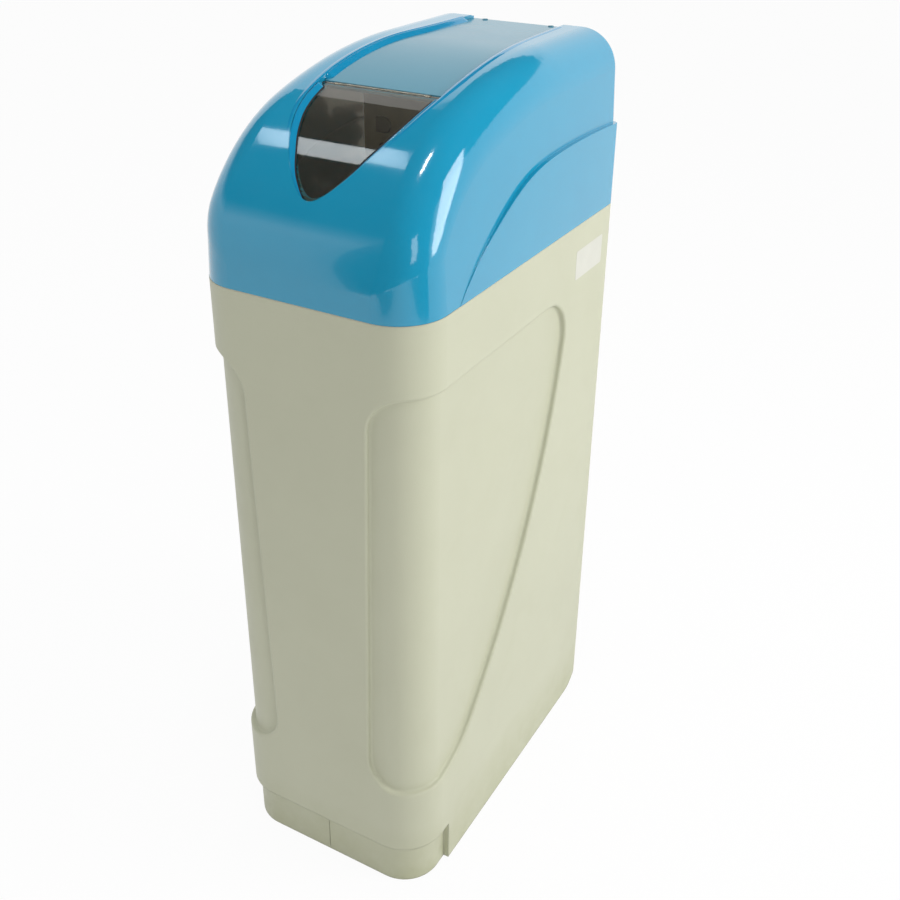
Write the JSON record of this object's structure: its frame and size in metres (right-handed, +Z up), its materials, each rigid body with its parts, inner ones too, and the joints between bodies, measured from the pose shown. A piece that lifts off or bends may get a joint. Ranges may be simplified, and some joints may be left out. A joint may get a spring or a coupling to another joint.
{
  "type": "water softener",
  "caption": "Cabinet water softener: tall moulded salt cabinet, curved lift-off hood with a hinged smoked salt lid, resin vessel, control valve, bypass and brine well.",
  "frame": {"origin": "middle of the base, at the middle of the overall footprint, on the floor", "axes": "+Z up, -Y towards the front with the salt lid, +X to the right seen from the front"},
  "size_m": [0.32, 0.54, 1.1164],
  "materials": {
    "cabinet_plastic": "satin, fine moulded grain",
    "hood_plastic": "gloss",
    "panel_plastic": "gloss",
    "smoked_lid": "clear smoked, polished",
    "screw_steel": "bright",
    "vessel_shell": "wound fibre under resin, satin",
    "black_plastic": "satin",
    "seal_rubber": "smooth",
    "resin": "granular",
    "white_plastic": "satin",
    "grey_plastic": "satin",
    "motor_steel": "bright",
    "beige_plastic": "satin",
    "board_green": "lacquered",
    "display_glass": "polished",
    "button_dark": "satin",
    "button_red": "satin",
    "lever_red": "gloss",
    "well_plastic": "satin",
    "tube_plastic": "semi-clear, smooth",
    "float_foam": "fine foam"
  },
  "bodies": {
    "frame": {"cabinet": "cabinet_plastic", "resin_vessel": "vessel_shell", "vessel_foot": "black_plastic", "vessel_oring": "seal_rubber", "resin_bed": "resin", "riser_tube": "white_plastic", "lower_distributor": "white_plastic", "upper_distributor": "white_plastic", "valve_body": "black_plastic", "seal_stack": "seal_rubber", "injector_cap": "grey_plastic", "brine_nut": "grey_plastic", "drain_elbow": "black_plastic", "control_backplate": "grey_plastic", "drive_motor": "motor_steel", "control_housing": "beige_plastic", "housing_screws": "screw_steel", "power_socket": "black_plastic", "circuit_board": "board_green", "display_window": "display_glass", "union_nuts": "grey_plastic", "bypass_body": "black_plastic", "tail_nuts": "grey_plastic", "pipe_tails": "black_plastic", "meter_cage": "white_plastic", "brine_well": "well_plastic", "brine_valve": "white_plastic", "brine_line": "tube_plastic", "salt_grid": "white_plastic", "overflow_bush": "black_plastic", "overflow_nut": "black_plastic"},
    "hood": {"hood": "hood_plastic", "top_panel": "panel_plastic", "panel_screws": "screw_steel", "lid_hinge_pins": "screw_steel"},
    "lid": {"salt_lid": "smoked_lid"},
    "drive": {"drive_gear": "white_plastic", "valve_spool": "white_plastic"},
    "idler": {"idler_gear": "white_plastic"},
    "pinion": {"motor_pinion": "white_plastic"},
    "menu_key": {"menu_button": "button_dark"},
    "down_key": {"down_button": "button_dark"},
    "up_key": {"up_button": "button_dark"},
    "regeneration_key": {"regeneration_button": "button_dark"},
    "lock_key": {"lock_button": "button_red"},
    "inlet_valve": {"inlet_lever": "lever_red"},
    "outlet_valve": {"outlet_lever": "lever_red"},
    "meter": {"meter_wheel": "white_plastic"},
    "cap": {"well_cap": "well_plastic"},
    "float": {"float_rod": "white_plastic", "brine_float": "float_foam"}
  },
  "joints": [
    {"name": "hood_lift", "type": "slide", "parent": "frame", "child": "hood", "axis": [0, 0, 1], "range_m": [0, 0.25]},
    {"name": "lid_hinge", "type": "hinge", "parent": "hood", "child": "lid", "pos_m": [0, -0.0852, 1.08387], "axis": [-1, 0, 0], "range_deg": [0, 100]},
    {"name": "drive_turn", "type": "hinge", "parent": "frame", "child": "drive", "pos_m": [0, 0.0535, 0.958], "axis": [0, 1, 0], "range_deg": [0, 360]},
    {"name": "idler_turn", "type": "hinge", "parent": "frame", "child": "idler", "pos_m": [-0.04111, 0.0535, 0.97296], "axis": [0, 1, 0], "range_deg": [-480, 0]},
    {"name": "pinion_turn", "type": "hinge", "parent": "frame", "child": "pinion", "pos_m": [-0.06578, 0.0535, 0.98194], "axis": [0, 1, 0], "range_deg": [0, 1200]},
    {"name": "inlet_turn", "type": "hinge", "parent": "frame", "child": "inlet_valve", "pos_m": [0.038, 0.224, 0.95], "axis": [0, 0, -1], "range_deg": [0, 90]},
    {"name": "outlet_turn", "type": "hinge", "parent": "frame", "child": "outlet_valve", "pos_m": [-0.038, 0.224, 0.95], "axis": [0, 0, 1], "range_deg": [0, 90]},
    {"name": "meter_spin", "type": "hinge", "parent": "frame", "child": "meter", "pos_m": [-0.038, 0.1885, 0.925], "axis": [0, 1, 0], "continuous": true},
    {"name": "cap_lift", "type": "slide", "parent": "frame", "child": "cap", "axis": [0, 0, 1], "range_m": [0, 0.06]},
    {"name": "float_rise", "type": "slide", "parent": "frame", "child": "float", "axis": [0, 0, 1], "range_m": [0, 0.04]},
    {"name": "menu_press", "type": "slide", "parent": "frame", "child": "menu_key", "axis": [0, 1, 0], "range_m": [0, 0.0012], "stiffness_N_per_m": 400},
    {"name": "down_press", "type": "slide", "parent": "frame", "child": "down_key", "axis": [0, 1, 0], "range_m": [0, 0.0012], "stiffness_N_per_m": 400},
    {"name": "up_press", "type": "slide", "parent": "frame", "child": "up_key", "axis": [0, 1, 0], "range_m": [0, 0.0012], "stiffness_N_per_m": 400},
    {"name": "regeneration_press", "type": "slide", "parent": "frame", "child": "regeneration_key", "axis": [0, 1, 0], "range_m": [0, 0.0012], "stiffness_N_per_m": 400},
    {"name": "lock_press", "type": "slide", "parent": "frame", "child": "lock_key", "axis": [0, 1, 0], "range_m": [0, 0.0012], "stiffness_N_per_m": 400}
  ],
  "couplings": [
    {"joint": "idler_turn", "follows": "drive_turn", "ratio": -1.3333},
    {"joint": "pinion_turn", "follows": "drive_turn", "ratio": 3.3333}
  ]
}
